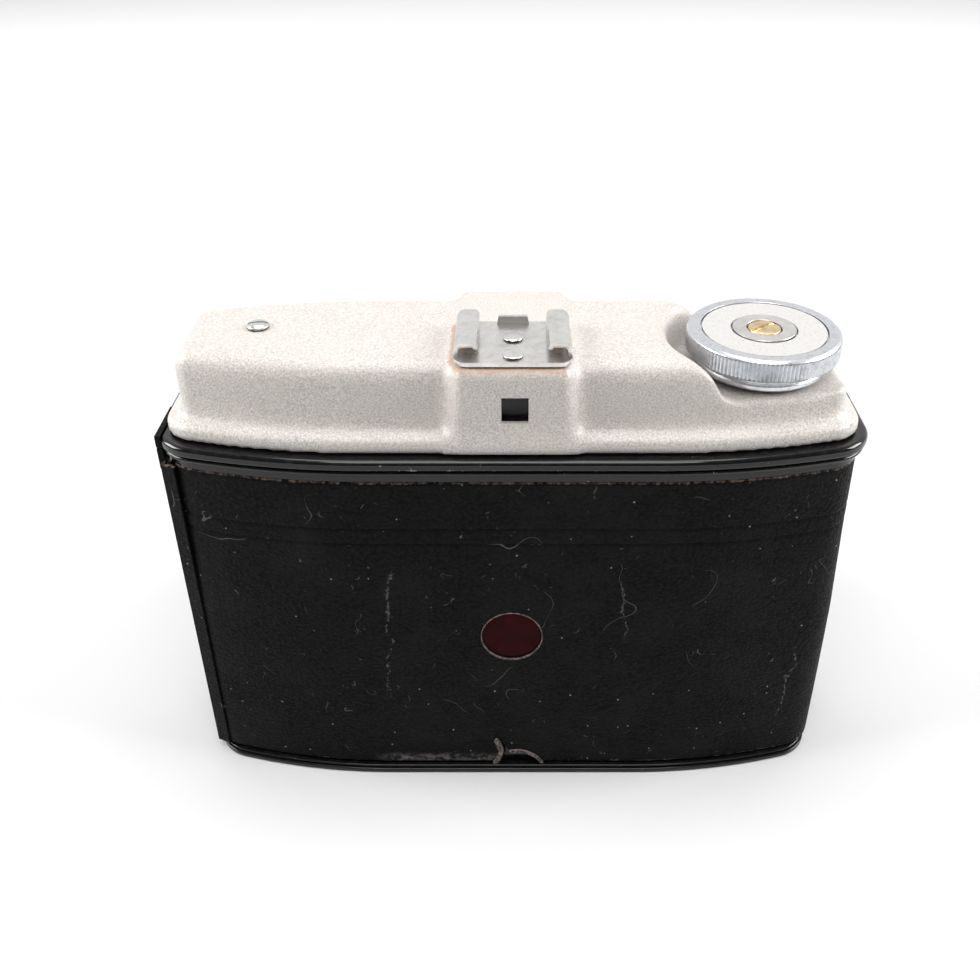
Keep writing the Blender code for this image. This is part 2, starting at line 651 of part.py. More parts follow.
def main():
    clear_scene()
    make_base()
    make_top_plate()
    make_front()
    make_film_frame()
    make_rollers()
    make_spool_pins()
    make_tension_spring()
    make_takeup_spool()
    make_winder()
    make_pawl()
    make_housing()
    make_finder()
    make_shoe()
    make_cover_screw()
    make_door()
    make_hinge()
    make_latch()
    make_lens_mount()
    make_lens_controls()
    make_shutter()


main()
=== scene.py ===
"""Looks of the roll-film camera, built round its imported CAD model. Sizes are in millimetres, times MM."""

import json
import math

import bmesh
import bpy
import numpy as np
from mathutils import Matrix, Vector


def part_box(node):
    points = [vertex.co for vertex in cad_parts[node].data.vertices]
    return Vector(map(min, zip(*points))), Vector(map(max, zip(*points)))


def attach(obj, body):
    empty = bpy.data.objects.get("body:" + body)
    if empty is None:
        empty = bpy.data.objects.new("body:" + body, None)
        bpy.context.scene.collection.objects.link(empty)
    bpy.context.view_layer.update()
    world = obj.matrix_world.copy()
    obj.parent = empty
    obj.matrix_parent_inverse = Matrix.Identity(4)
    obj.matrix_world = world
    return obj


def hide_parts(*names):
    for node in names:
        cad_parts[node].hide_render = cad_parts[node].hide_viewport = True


MM = 0.001
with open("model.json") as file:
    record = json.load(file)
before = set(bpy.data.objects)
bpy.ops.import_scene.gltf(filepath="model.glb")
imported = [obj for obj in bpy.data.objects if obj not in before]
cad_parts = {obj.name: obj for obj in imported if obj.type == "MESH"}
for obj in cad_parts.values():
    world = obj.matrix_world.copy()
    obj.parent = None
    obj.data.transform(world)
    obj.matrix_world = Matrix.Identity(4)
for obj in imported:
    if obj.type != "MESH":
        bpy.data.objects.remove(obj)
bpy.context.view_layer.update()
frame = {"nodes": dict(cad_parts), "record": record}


def span(node):
    """The lowest and highest corners of a CAD node, in millimetres."""
    low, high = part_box(node)
    return Vector(low) / MM, Vector(high) / MM


# Plan of the body: flat in the middle, bowed towards the ends, with round corners.
PLATE_HIGH = span("top_plate")[1]
HALF_DEPTH = PLATE_HIGH.y
FLAT_END = 27.0
BOW = 0.004
BOW_END = 61.3
CORNER_RADIUS = 9.5

PARTING = -6.5
LENS_Z = (span("lens_cone")[0].z + span("lens_cone")[1].z) / 2
KNOB_LOW, KNOB_HIGH = span("knob_disc")
KNOB_X = (KNOB_LOW.x + KNOB_HIGH.x) / 2
LEATHER_LOW, LEATHER_HIGH = (corner.z for corner in span("back_leather"))
WINDOW = (-0.25, LENS_Z)
HOUSING_TOP = span("top_housing")[1].z - 0.1
SCREW_X = (span("cover_screw")[0].x + span("cover_screw")[1].x) / 2


# Node trees.


class Finish:
    """A material under construction, with short calls for its nodes."""

    def __init__(self, name, colour=(0.8, 0.8, 0.8), roughness=0.5, metallic=0.0, **sockets):
        self.material = bpy.data.materials.new(name)
        self.material.use_nodes = True
        self.tree = self.material.node_tree
        self.shader = self.tree.nodes["Principled BSDF"]
        self.set(self.shader, {"Base Color": (*colour, 1.0), "Roughness": roughness, "Metallic": metallic})
        self.set(self.shader, {key.replace("_", " "): value for key, value in sockets.items()})
        self.place = self.add("ShaderNodeTexCoord", out="Object")

    def set(self, made, inputs):
        for key, value in inputs.items():
            socket = made.inputs[key]
            if isinstance(value, bpy.types.NodeSocket):
                self.tree.links.new(value, socket)
            else:
                socket.default_value = value

    def add(self, kind, inputs=None, out=0, **settings):
        made = self.tree.nodes.new(kind)
        for key, value in settings.items():
            setattr(made, key, value)
        self.set(made, inputs or {})
        return made.outputs[out]

    def scaled(self, scale, turn=(0.0, 0.0, 0.0), shift=(0.0, 0.0, 0.0)):
        return self.add("ShaderNodeMapping", {
            "Vector": self.place, "Scale": scale, "Rotation": turn, "Location": shift})

    def noise(self, size, detail=3.0, rough=0.5, vector=None, distortion=0.0):
        """Noise whose features are about size millimetres across."""
        return self.add("ShaderNodeTexNoise", {
            "Vector": vector or self.place, "Scale": 1.0 / (size * MM), "Detail": detail, "Roughness": rough,
            "Distortion": distortion})

    def cells(self, size, out="Distance", vector=None, **settings):
        return self.add("ShaderNodeTexVoronoi", {"Vector": vector or self.place, "Scale": 1.0 / (size * MM)},
                        out, **settings)

    def ramp(self, value, low, high, from_value=0.0, to_value=1.0):
        return self.add("ShaderNodeMapRange", {
            "Value": value, "From Min": low, "From Max": high, "To Min": from_value, "To Max": to_value})

    def maths(self, operation, a, b=0.0):
        return self.add("ShaderNodeMath", {0: a, 1: b}, operation=operation)

    def mix(self, factor, a, b):
        made = self.tree.nodes.new("ShaderNodeMix")
        made.data_type = "RGBA"
        for key, value in ((0, factor), (6, a), (7, b)):
            socket = made.inputs[key]
            if isinstance(value, bpy.types.NodeSocket):
                self.tree.links.new(value, socket)
            else:
                socket.default_value = (*value, 1.0) if key else value
        return made.outputs[2]

    def axis(self, name):
        """X, Y or Z in millimetres."""
        split = self.tree.nodes.new("ShaderNodeSeparateXYZ")
        self.tree.links.new(self.place, split.inputs[0])
        return self.maths("DIVIDE", split.outputs[name], MM)

    def around(self, x0, x1, y0, y1):
        """How far outside a rectangle in plan each place lies, in millimetres."""
        x, y = self.axis("X"), self.axis("Y")
        sides = [self.maths("SUBTRACT", x0, x), self.maths("SUBTRACT", x, x1), self.maths("SUBTRACT", y0, y),
                 self.maths("SUBTRACT", y, y1)]
        out = sides[0]
        for side in sides[1:]:
            out = self.maths("MAXIMUM", out, side)
        return self.maths("MAXIMUM", out, 0.0)

    def colour(self, value):
        self.set(self.shader, {"Base Color": value})

    def rough(self, value):
        self.set(self.shader, {"Roughness": value})

    def bump(self, *heights):
        """Bumps one over the other, each a (height, depth in millimetres)."""
        normal = None
        for height, depth in heights:
            inputs = {"Height": height, "Strength": 1.0, "Distance": depth * MM}
            if normal is not None:
                inputs["Normal"] = normal
            normal = self.add("ShaderNodeBump", inputs)
        self.set(self.shader, {"Normal": normal})


def hammered_paint():
    """Silver-grey hammered paint: fine speckle, small dents, chips, and rust creeping from under the shoe."""
    f = Finish("hammered_paint", metallic=0.1, Coat_Weight=0.1, Coat_Roughness=0.35, Specular_IOR_Level=0.4)
    speck = f.noise(0.34, 4.0, 0.7)
    blotch = f.noise(9.0, 3.0)
    light = f.mix(f.ramp(speck, 0.36, 0.64), (0.335, 0.302, 0.278), (0.63, 0.594, 0.564))
    tone = f.mix(f.ramp(blotch, 0.35, 0.7, 0.0, 0.3), light, (0.52, 0.475, 0.44))
    chip = f.ramp(f.noise(2.2, 6.0, 0.75), 0.73, 0.75)
    tone = f.mix(f.maths("MULTIPLY", chip, 0.75), tone, (0.14, 0.12, 0.11))
    low, high = span("accessory_shoe")
    grime = f.noise(1.3, 6.0, 0.7)
    near = f.ramp(f.around(low.x - 0.6, high.x - 1.4, low.y - 0.5, high.y), 1.5, 0.0)
    rust = f.maths("MULTIPLY", f.ramp(f.maths("ADD", near, f.maths("MULTIPLY", grime, 1.2)), 1.25, 1.6),
                   f.ramp(f.axis("Z"), 98.5, 99.3))
    tone = f.mix(f.maths("MULTIPLY", rust, 0.75), tone, (0.33, 0.20, 0.12))
    f.colour(tone)
    f.rough(f.ramp(speck, 0.3, 0.7, 0.36, 0.56))
    f.bump((f.cells(0.75), 0.03), (speck, 0.035), (f.noise(4.0), 0.06), (chip, -0.04))
    return f.material


def black_paint():
    """Glossy black enamel, rubbed through to grey metal in small chips along its edges."""
    f = Finish("black_paint", roughness=0.2, Coat_Weight=0.4, Coat_Roughness=0.05, Specular_IOR_Level=0.2)
    dirt = f.noise(1.4, 6.0, 0.65)
    edge = f.add("ShaderNodeNewGeometry", out="Pointiness")
    rubbed = f.maths("ADD", f.noise(1.8, 7.0, 0.75), f.ramp(edge, 0.5, 0.6, 0.0, 0.12))
    worn = f.ramp(rubbed, 0.70, 0.73)
    base = f.mix(f.ramp(dirt, 0.5, 0.8), (0.004, 0.004, 0.0045), (0.016, 0.0155, 0.015))
    f.colour(f.mix(worn, base, (0.34, 0.28, 0.23)))
    f.rough(f.ramp(dirt, 0.35, 0.75, 0.12, 0.28))
    f.bump((f.noise(0.8, 3.0), 0.004), (f.noise(7.0), 0.04), (worn, -0.03))
    return f.material


def leatherette():
    """Black grained cloth: pebble grain, curly scratches, pale specks, and fraying at its top and foot."""
    f = Finish("leatherette", roughness=0.6, Specular_IOR_Level=0.07)
    wander = f.add("ShaderNodeTexNoise", {"Vector": f.place, "Scale": 450.0, "Detail": 2.0}, "Color")
    warped = f.add("ShaderNodeVectorMath", {0: wander, 1: (0.0005, 0.0005, 0.0005), 2: f.place},
                   operation="MULTIPLY_ADD")
    pebble = f.cells(0.62, vector=warped, feature="SMOOTH_F1")
    crease = f.cells(2.3, vector=warped, feature="DISTANCE_TO_EDGE")
    cloud = f.noise(14.0, 4.0, 0.6)
    black = f.mix(f.ramp(pebble, 0.1, 0.8), (0.0054, 0.0052, 0.0052), (0.0020, 0.0019, 0.0019))
    tone = f.mix(f.ramp(cloud, 0.45, 0.75, 0.0, 0.7), black, (0.0105, 0.0100, 0.0098))
    marks = []
    curls = (7.0, 0.005, 0.0, 0.645), (3.4, 0.008, 5.0, 0.665), (18.0, 0.0018, 9.0, 0.585)
    for size, width, shift, limit in curls:
        curl = f.noise(size, 1.5, 0.5, f.scaled((1, 1, 1), shift=(shift, shift, shift)))
        line = f.ramp(f.maths("ABSOLUTE", f.maths("SUBTRACT", curl, 0.5)), width, width * 0.4)
        place = f.scaled((1, 1, 1), shift=(0, shift + 2, 0))
        patch = f.ramp(f.noise(size * 0.8, 2.0, 0.5, place), limit, limit + 0.04)
        marks.append(f.maths("MULTIPLY", line, patch))
    scratch = f.maths("MAXIMUM", f.maths("MAXIMUM", marks[0], marks[1]), marks[2])
    across, height, depth = f.axis("X"), f.axis("Z"), f.axis("Y")
    wobble = f.maths("MULTIPLY", f.noise(6.0, 4.0, 0.6), 7.0)
    broken = f.ramp(f.noise(1.3, 4.0, 0.7), 0.46, 0.54)
    cracks = (-31.5, 0.06, 22.0, 58.0), (24.0, -0.11, 38.0, 55.0), (55.0, 0.05, 12.0, 34.0)
    for place, lean, low, high in cracks:
        centre = f.maths("ADD", f.maths("MULTIPLY", height, lean), place)
        off = f.maths("ABSOLUTE", f.maths("SUBTRACT", f.maths("SUBTRACT", across, centre), wobble))
        line = f.maths("MULTIPLY", f.ramp(off, 0.32, 0.12), f.maths("MULTIPLY", f.ramp(height, low, low + 3),
                                                                    f.ramp(height, high, high - 3)))
        line = f.maths("MULTIPLY", line, f.maths("MULTIPLY", broken, f.ramp(depth, -14.0, -15.0)))
        scratch = f.maths("MAXIMUM", scratch, line)
    speck = f.maths("MULTIPLY", f.ramp(f.cells(2.6), 0.085, 0.05), f.ramp(f.noise(2.0, 2.0), 0.52, 0.57))
    rub = f.ramp(f.noise(5.5, 7.0, 0.7), 0.735, 0.77)
    frayed = f.noise(1.1, 5.0, 0.7)
    foot = f.maths("MULTIPLY", f.ramp(height, 5.0, 2.4), f.ramp(f.noise(20.0, 1.0), 0.35, 0.6, 0.55, 1.0))
    head = f.maths("MULTIPLY", f.ramp(height, 76.2, 77.0), f.ramp(height, 78.6, 77.6))
    head = f.maths("MULTIPLY", head, 0.9)
    edge = f.maths("MAXIMUM", foot, head)
    wear = f.maths("ADD", f.maths("MULTIPLY", edge, 0.42), f.maths("MULTIPLY", frayed, 0.62))
    wear = f.ramp(wear, 0.64, 0.74)
    tone = f.mix(f.maths("MULTIPLY", scratch, 0.5), tone, (0.16, 0.145, 0.13))
    tone = f.mix(f.maths("MULTIPLY", speck, 0.7), tone, (0.40, 0.37, 0.33))
    tone = f.mix(f.maths("MULTIPLY", rub, 0.5), tone, (0.16, 0.10, 0.075))
    band = f.maths("MULTIPLY", f.maths("MULTIPLY", f.ramp(across, -31.0, -26.0), f.ramp(across, -2.0, -6.0)),
                   f.maths("MULTIPLY", f.ramp(height, 5.6, 4.2), f.ramp(depth, -15.0, -17.0)))
    scuff = f.maths("MULTIPLY", band, f.ramp(f.noise(1.6, 6.0, 0.7), 0.42, 0.6))
    tone = f.mix(f.maths("MULTIPLY", scuff, 0.7), tone, (0.16, 0.148, 0.14))
    f.colour(f.mix(f.maths("MULTIPLY", wear, 0.75), tone, (0.27, 0.20, 0.155)))
    f.rough(f.ramp(pebble, 0.0, 0.7, 0.42, 0.68))
    f.bump((pebble, -0.16), (crease, 0.05), (f.noise(0.35, 2.0), 0.02), (f.noise(6.0), 0.1), (scratch, -0.05),
           (wear, -0.08))
    return f.material


def raw_cloth():
    """The pale cloth backing that shows where the leatherette is torn."""
    f = Finish("raw_cloth", roughness=0.9, Specular_IOR_Level=0.1)
    weave = f.add("ShaderNodeTexWave", {"Vector": f.place, "Scale": 900.0, "Distortion": 2.0})
    dirt = f.noise(0.7, 6.0, 0.7)
    f.colour(f.mix(f.ramp(dirt, 0.40, 0.60), (0.21, 0.178, 0.16), (0.03, 0.027, 0.026)))
    f.bump((weave, 0.05), (dirt, 0.08))
    return f.material


def plated_steel():
    """Dull chromium plate with stains in it and rust at the lowest places."""
    f = Finish("plated_steel", metallic=1.0)
    fine = f.add("ShaderNodeTexNoise", {
        "Vector": f.scaled((600.0, 9000.0, 9000.0)), "Scale": 1.0, "Detail": 3.0})
    stain = f.noise(2.8, 5.0, 0.65)
    rust = f.ramp(f.noise(1.5, 6.0, 0.7), 0.66, 0.74)
    base = f.mix(f.ramp(stain, 0.4, 0.7), (0.72, 0.71, 0.70), (0.54, 0.52, 0.49))
    across = f.maths("ABSOLUTE", f.axis("X"))
    inside = f.maths("MULTIPLY", f.ramp(across, 6.9, 7.3), f.ramp(across, 10.1, 9.6))
    inside = f.maths("MULTIPLY", inside, f.maths("MULTIPLY", f.ramp(f.axis("Z"), 101.0, 101.4),
                                                 f.ramp(f.axis("Z"), 103.1, 102.7)))
    rust = f.maths("MAXIMUM", rust, f.maths("MULTIPLY", inside, f.ramp(stain, 0.3, 0.5)))
    f.colour(f.mix(f.maths("MULTIPLY", rust, 0.6), base, (0.30, 0.16, 0.08)))
    f.rough(f.ramp(stain, 0.35, 0.7, 0.24, 0.42))
    f.bump((fine, 0.006), (f.noise(1.2, 4.0), 0.02), (rust, 0.02))
    return f.material


def turned_aluminium(name, tone=(0.66, 0.675, 0.70), rough=(0.24, 0.40)):
    """Turned bare aluminium: faint turning marks, dirt in the hollows, small nicks."""
    f = Finish(name, metallic=1.0)
    dirt = f.noise(1.7, 6.0, 0.7)
    nick = f.ramp(f.noise(0.9, 5.0, 0.8), 0.70, 0.74)
    f.colour(f.mix(f.ramp(dirt, 0.5, 0.78), tone, tuple(0.55 * c for c in tone)))
    f.rough(f.ramp(dirt, 0.3, 0.7, *rough))
    f.bump((f.noise(0.25, 2.0), 0.008), (f.noise(2.5, 3.0), 0.015), (nick, -0.03))
    return f.material


def old_brass():
    """Brass with dull brown tarnish in patches."""
    f = Finish("old_brass", metallic=1.0)
    tarnish = f.noise(1.6, 6.0, 0.65)
    f.colour(f.mix(f.ramp(tarnish, 0.38, 0.68), (0.78, 0.60, 0.33), (0.46, 0.37, 0.25)))
    f.rough(f.ramp(tarnish, 0.35, 0.7, 0.28, 0.5))
    f.bump((f.noise(0.4, 3.0), 0.01))
    return f.material


def ruby():
    """Deep red celluloid, hazed and finely scratched."""
    f = Finish("ruby", roughness=0.25, Specular_IOR_Level=0.04)
    haze = f.noise(3.0, 5.0, 0.6)
    f.colour(f.mix(f.ramp(haze, 0.3, 0.75), (0.030, 0.0020, 0.0030), (0.015, 0.0015, 0.002)))
    f.rough(f.ramp(haze, 0.3, 0.8, 0.14, 0.3))
    f.bump((f.noise(5.0), 0.04), (f.noise(0.6, 4.0), 0.004))
    return f.material


def lens_glass():
    """Clear glass with a faint violet coating and a little haze."""
    f = Finish("lens_glass", colour=(0.93, 0.95, 0.97), roughness=0.02, Transmission_Weight=1.0, IOR=1.52,
               Coat_Weight=0.15, Coat_Tint=(0.9, 0.85, 1.0, 1.0))
    f.rough(f.ramp(f.noise(2.0, 5.0), 0.5, 0.8, 0.01, 0.08))
    return f.material


def finder_glass():
    """Thin window glass of the finder, which bends the view little."""
    f = Finish("finder_glass", colour=(0.9, 0.92, 0.93), roughness=0.03, Transmission_Weight=1.0, IOR=1.25)
    f.rough(f.ramp(f.noise(1.5, 5.0), 0.5, 0.8, 0.02, 0.12))
    return f.material


def matt_black():
    """Matt black of the camera's inside, with a little dust."""
    f = Finish("matt_black", roughness=0.85, Specular_IOR_Level=0.2)
    dust = f.noise(0.6, 4.0, 0.7)
    f.colour(f.mix(f.ramp(dust, 0.45, 0.75), (0.006, 0.006, 0.006), (0.022, 0.021, 0.020)))
    f.rough(f.ramp(dust, 0.3, 0.7, 0.6, 0.9))
    f.bump((dust, 0.02))
    return f.material


def worn_white():
    """The knob's inlay: matt white metal, speckled with dirt."""
    f = Finish("worn_white", metallic=0.1, Specular_IOR_Level=0.3)
    dirt = f.noise(0.5, 6.0, 0.75)
    f.colour(f.mix(f.ramp(dirt, 0.5, 0.72), (0.46, 0.45, 0.44), (0.32, 0.295, 0.27)))
    f.rough(f.ramp(dirt, 0.3, 0.7, 0.4, 0.55))
    f.bump((f.noise(0.3, 2.0), 0.012))
    return f.material


def dial_face():
    """Satin aluminium of the shutter's front, with a ring of fine black division lines and no figures."""
    f = Finish("dial_face", metallic=1.0)
    dirt = f.noise(1.7, 6.0, 0.7)
    x, z = f.axis("X"), f.maths("SUBTRACT", f.axis("Z"), LENS_Z)
    reach = f.maths("SQRT", f.maths("ADD", f.maths("MULTIPLY", x, x), f.maths("MULTIPLY", z, z)))
    turn = f.maths("MULTIPLY", f.maths("ARCTAN2", x, z), 36 / math.pi)
    line = f.ramp(f.maths("ABSOLUTE", f.maths("SUBTRACT", f.maths("FRACT", turn), 0.5)), 0.09, 0.06)
    ring = f.maths("MULTIPLY", f.ramp(reach, 22.55, 22.65), f.ramp(reach, 23.85, 23.75))
    lines = f.maths("MULTIPLY", f.maths("MULTIPLY", line, ring), f.ramp(z, 2.0, 2.4))
    tone = f.mix(f.ramp(dirt, 0.5, 0.78), (0.68, 0.69, 0.71), (0.42, 0.42, 0.42))
    f.colour(f.mix(lines, tone, (0.01, 0.01, 0.01)))
    f.rough(f.ramp(dirt, 0.3, 0.7, 0.3, 0.45))
    f.bump((f.noise(0.25, 2.0), 0.008), (lines, -0.03))
    return f.material


FINISHES = {
    "hammered_paint": hammered_paint(),
    "black_paint": black_paint(),
    "leather": leatherette(),
    "steel": plated_steel(),
    "aluminium": turned_aluminium("turned_aluminium"),
    "brass": old_brass(),
    "ruby": ruby(),
    "glass": lens_glass(),
    "matt_black": matt_black(),
    "disc_white": worn_white(),
}
RAW_CLOTH = raw_cloth()
DIAL_FACE = dial_face()
FINDER_GLASS = finder_glass()
NODE_SLOTS = {s["node"]: s["material_slot"] for s in frame["record"]["subparts"]}
NODE_BODIES = {n: b for b, nodes in frame["record"]["behaviour"]["bodies"].items() for n in nodes}


# Meshes.


def link_piece(name, mesh, material, sharp):
    mesh.transform(Matrix.Scale(MM, 4))
    mesh.shade_smooth()
    mesh.set_sharp_from_angle(angle=math.radians(sharp))
    made = bpy.data.objects.new(name, mesh)
    bpy.context.scene.collection.objects.link(made)
    made.data.materials.clear()
    made.data.materials.append(material)
    made.modifiers.new("normals", "WEIGHTED_NORMAL").keep_sharp = True
    return made


def finish_piece(name, mesh, stands_for, material=None, sharp=30.0):
    """Links a mesh in millimetres as a piece in place of CAD nodes, riding on the first one's body."""
    node = stands_for[0]
    made = link_piece(name, mesh, material or FINISHES[NODE_SLOTS[node]], sharp)
    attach(made, NODE_BODIES[node])
    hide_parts(*stands_for)
    return made


def extra_piece(name, mesh, beside, material):
    """Links a mesh in millimetres as a detail that no CAD node has, riding with the node beside it."""
    made = link_piece(name, mesh, material, 30.0)
    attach(made, NODE_BODIES[beside])
    return made


def stack(loops, ring=False):
    """Joins equal loops of points in turn, into a solid with two caps or, with ring, into a closed tube."""
    bm = bmesh.new()
    rows = [[bm.verts.new(p) for p in loop] for loop in loops]
    pairs = list(zip(rows, rows[1:]))
    if ring:
        pairs.append((rows[-1], rows[0]))
    for low, high in pairs:
        for i, vert in enumerate(low):
            j = (i + 1) % len(low)
            bm.faces.new((vert, low[j], high[j], high[i]))
    if not ring:
        bm.faces.new(rows[0])
        bm.faces.new(rows[-1])
    bmesh.ops.recalc_face_normals(bm, faces=bm.faces)
    mesh = bpy.data.meshes.new("piece")
    bm.to_mesh(mesh)
    bm.free()
    return mesh


def rim_points(spacing=1.0):
    """(point, outward normal) round the whole body outline, from the front's middle to the right and on."""
    quarter = [(Vector((x, HALF_DEPTH)), Vector((0.0, 1.0))) for x in np.arange(0.0, FLAT_END, 3 * spacing)]
    for x in np.linspace(FLAT_END, BOW_END, int((BOW_END - FLAT_END) / spacing)):
        out = Vector((2 * BOW * (x - FLAT_END), 1.0)).normalized()
        quarter.append((Vector((x, HALF_DEPTH - BOW * (x - FLAT_END) ** 2)), out))
    point, out = quarter[-1]
    centre, start = point - out * CORNER_RADIUS, math.atan2(out.y, out.x)
    steps = int(14 / spacing)
    for step in range(1, steps + 1):
        angle = start * (1 - step / steps)
        out = Vector((math.cos(angle), math.sin(angle)))
        quarter.append((centre + out * CORNER_RADIUS, out))
    flipped = [(Vector((p.x, -p.y)), Vector((n.x, -n.y))) for p, n in reversed(quarter)]
    right = quarter + flipped
    left = [(Vector((-p.x, p.y)), Vector((-n.x, n.y))) for p, n in reversed(right)]
    return right + left[1:-1]


def layers(rows, spacing=1.0, ring=False):
    """Loops of the body's outline at (inset, height) rows."""
    rim = rim_points(spacing)
    loops = [[Vector((*(p - n * inset), height)) for p, n in rim] for inset, height in rows]
    return stack(loops, ring)


def arc(centre, radius, start, end, steps=6):
    """(inset, height) places round part of a circle, from start to end in degrees."""
    angles = np.radians(np.linspace(start, end, steps))
    return [(centre[0] + radius * math.cos(a), centre[1] + radius * math.sin(a)) for a in angles]


def stretch(behind, spacing=1.0):
    """The rim behind the parting line, or in front of it; its ends lie on the parting plane."""
    cut = PARTING - 0.15 if behind else PARTING + 0.15
    rim = rim_points(spacing)
    half = PLATE_HIGH.x
    right = (Vector((half, cut)), Vector((1.0, 0.0)))
    left = (Vector((-half, cut)), Vector((-1.0, 0.0)))
    if behind:
        middle = [(p, n) for p, n in rim if p.y < cut - 0.05]
        return [right] + middle + [left]
    start = next(i for i, (p, n) in enumerate(rim) if p.x < 0 and p.y > cut + 0.05)
    turned = rim[start:] + rim[:start]
    return [left] + [(p, n) for p, n in turned if p.y > cut + 0.05] + [right]


def run(section, path):
    """A closed section of (inset, height) places, which section(outward) gives, run along part of the rim."""
    return stack([[Vector((*(p - n * inset), height)) for inset, height in section(n)] for p, n in path])


def lathe(profile, centre, axis="Z", count=128, ring=True, teeth=0):
    """Turns (radius, distance[, tooth depth]) places about the axis through centre."""
    loops = []
    for place in profile:
        depth = place[2] if len(place) > 2 else 0.0
        loop = []
        for i in range(count):
            angle = 2 * math.pi * i / count
            wave = abs(2.0 * (i * teeth / count % 1.0) - 1.0) if teeth else 0.0
            r = place[0] - depth * wave
            a, b = r * math.cos(angle), r * math.sin(angle)
            loop.append({
                "Z": Vector((centre[0] + a, centre[1] + b, place[1])),
                "Y": Vector((centre[0] + a, place[1], centre[1] + b)),
                "X": Vector((place[1], centre[0] + a, centre[1] + b)),
            }[axis])
        loops.append(loop)
    return stack(loops, ring)


def softened(profile, radius, ring=True, steps=3):
    """A profile with every corner rounded off by about radius."""
    out = []
    count = len(profile)
    for i, here in enumerate(profile):
        depth = here[2:] if len(here) > 2 else ()
        if not ring and i in (0, count - 1):
            out.append(here)
            continue
        p = Vector(here[:2])
        before, after = Vector(profile[i - 1][:2]), Vector(profile[(i + 1) % count][:2])
        reach = min(radius, (before - p).length * 0.45, (after - p).length * 0.45)
        a, b = p + (before - p).normalized() * reach, p + (after - p).normalized() * reach
        for step in range(steps + 1):
            t = step / steps
            q = a * (1 - t) ** 2 + p * 2 * t * (1 - t) + b * t ** 2
            out.append((q.x, q.y, *depth))
    return out


def prism(plan, low, high, axis="Z"):
    """A plan outline given thickness: (x, y) along Z, (x, z) along Y or (y, z) along X."""
    place = {
        "Z": lambda a, b, h: Vector((a, b, h)),
        "Y": lambda a, b, h: Vector((a, h, b)),
        "X": lambda a, b, h: Vector((h, a, b)),
    }[axis]
    return stack([[place(a, b, h) for a, b in plan] for h in (low, high)])


def box(x0, x1, y0, y1, z0, z1):
    return prism([(x0, y0), (x1, y0), (x1, y1), (x0, y1)], z0, z1)


def rod(radius, low, high, centre, axis="Z", count=96):
    return lathe([(radius, low), (radius, high)], centre, axis, count, ring=False)


def evaluated(mesh, prepare):
    """The mesh with the modifiers that prepare() adds, applied."""
    host = bpy.data.objects.new("host", mesh)
    bpy.context.scene.collection.objects.link(host)
    prepare(host)
    bpy.context.view_layer.update()
    made = bpy.data.meshes.new_from_object(host.evaluated_get(bpy.context.evaluated_depsgraph_get()))
    bpy.data.objects.remove(host)
    return made


def combined(operation, mesh, others):
    """The mesh after an exact boolean with each of the others in turn."""
    tools = []

    def prepare(host):
        for other in others:
            tool = bpy.data.objects.new("tool", other)
            bpy.context.scene.collection.objects.link(tool)
            tools.append(tool)
            step = host.modifiers.new("step", "BOOLEAN")
            step.operation, step.solver, step.object = operation, "EXACT", tool

    made = evaluated(mesh, prepare)
    for tool in tools:
        bpy.data.objects.remove(tool)
    return made


def carved(mesh, *others):
    """The mesh with the others cut out of it."""
    return combined("DIFFERENCE", mesh, others)


def fused(mesh, *others):
    """The mesh joined with the others."""
    return combined("UNION", mesh, others)


def add_bevel(host, width, segments=2):
    step = host.modifiers.new("bevel", "BEVEL")
    step.limit_method, step.angle_limit = "ANGLE", math.radians(35)
    step.width, step.segments = width, segments


def bevelled(mesh, width, segments=2):
    """Every sharp edge rounded off, in millimetres."""
    return evaluated(mesh, lambda host: add_bevel(host, width, segments))


# The pressed housing, as a smooth solid worked out from distances.


def corner_field(a, b, radius):
    """Distance to the corner where a and b are both negative, rounded."""
    a, b = a + radius, b + radius
    return np.minimum(np.maximum(a, b), 0) + np.hypot(np.maximum(a, 0), np.maximum(b, 0)) - radius


def box_field(x, y, z, low, high, radius):
    """Distance to a box with rounded edges."""
    parts = [np.abs(v - (a + b) / 2) - (b - a) / 2 + radius for v, a, b in zip((x, y, z), low, high)]
    outside = np.sqrt(sum(np.maximum(p, 0) ** 2 for p in parts))
    return outside + np.minimum(np.maximum(np.maximum(parts[0], parts[1]), parts[2]), 0) - radius


def blend_min(a, b, k):
    """The union of two solids' distances, with a fillet about k wide."""
    h = np.clip(0.5 + 0.5 * (b - a) / k, 0, 1)
    return b + (a - b) * h - k * h * (1 - h)


def blend_max(a, b, k):
    """The overlap of two solids' distances, with a fillet about k wide."""
    return -blend_min(-a, -b, k)


def inset_field(x, y):
    """How far inside the body's outline each place lies."""
    rim = rim_points(2.0)
    nearest = np.full(x.shape, 1e9)
    for point, out in rim:
        nearest = np.minimum(nearest, (point.x - x) * out.x + (point.y - y) * out.y)
    return nearest


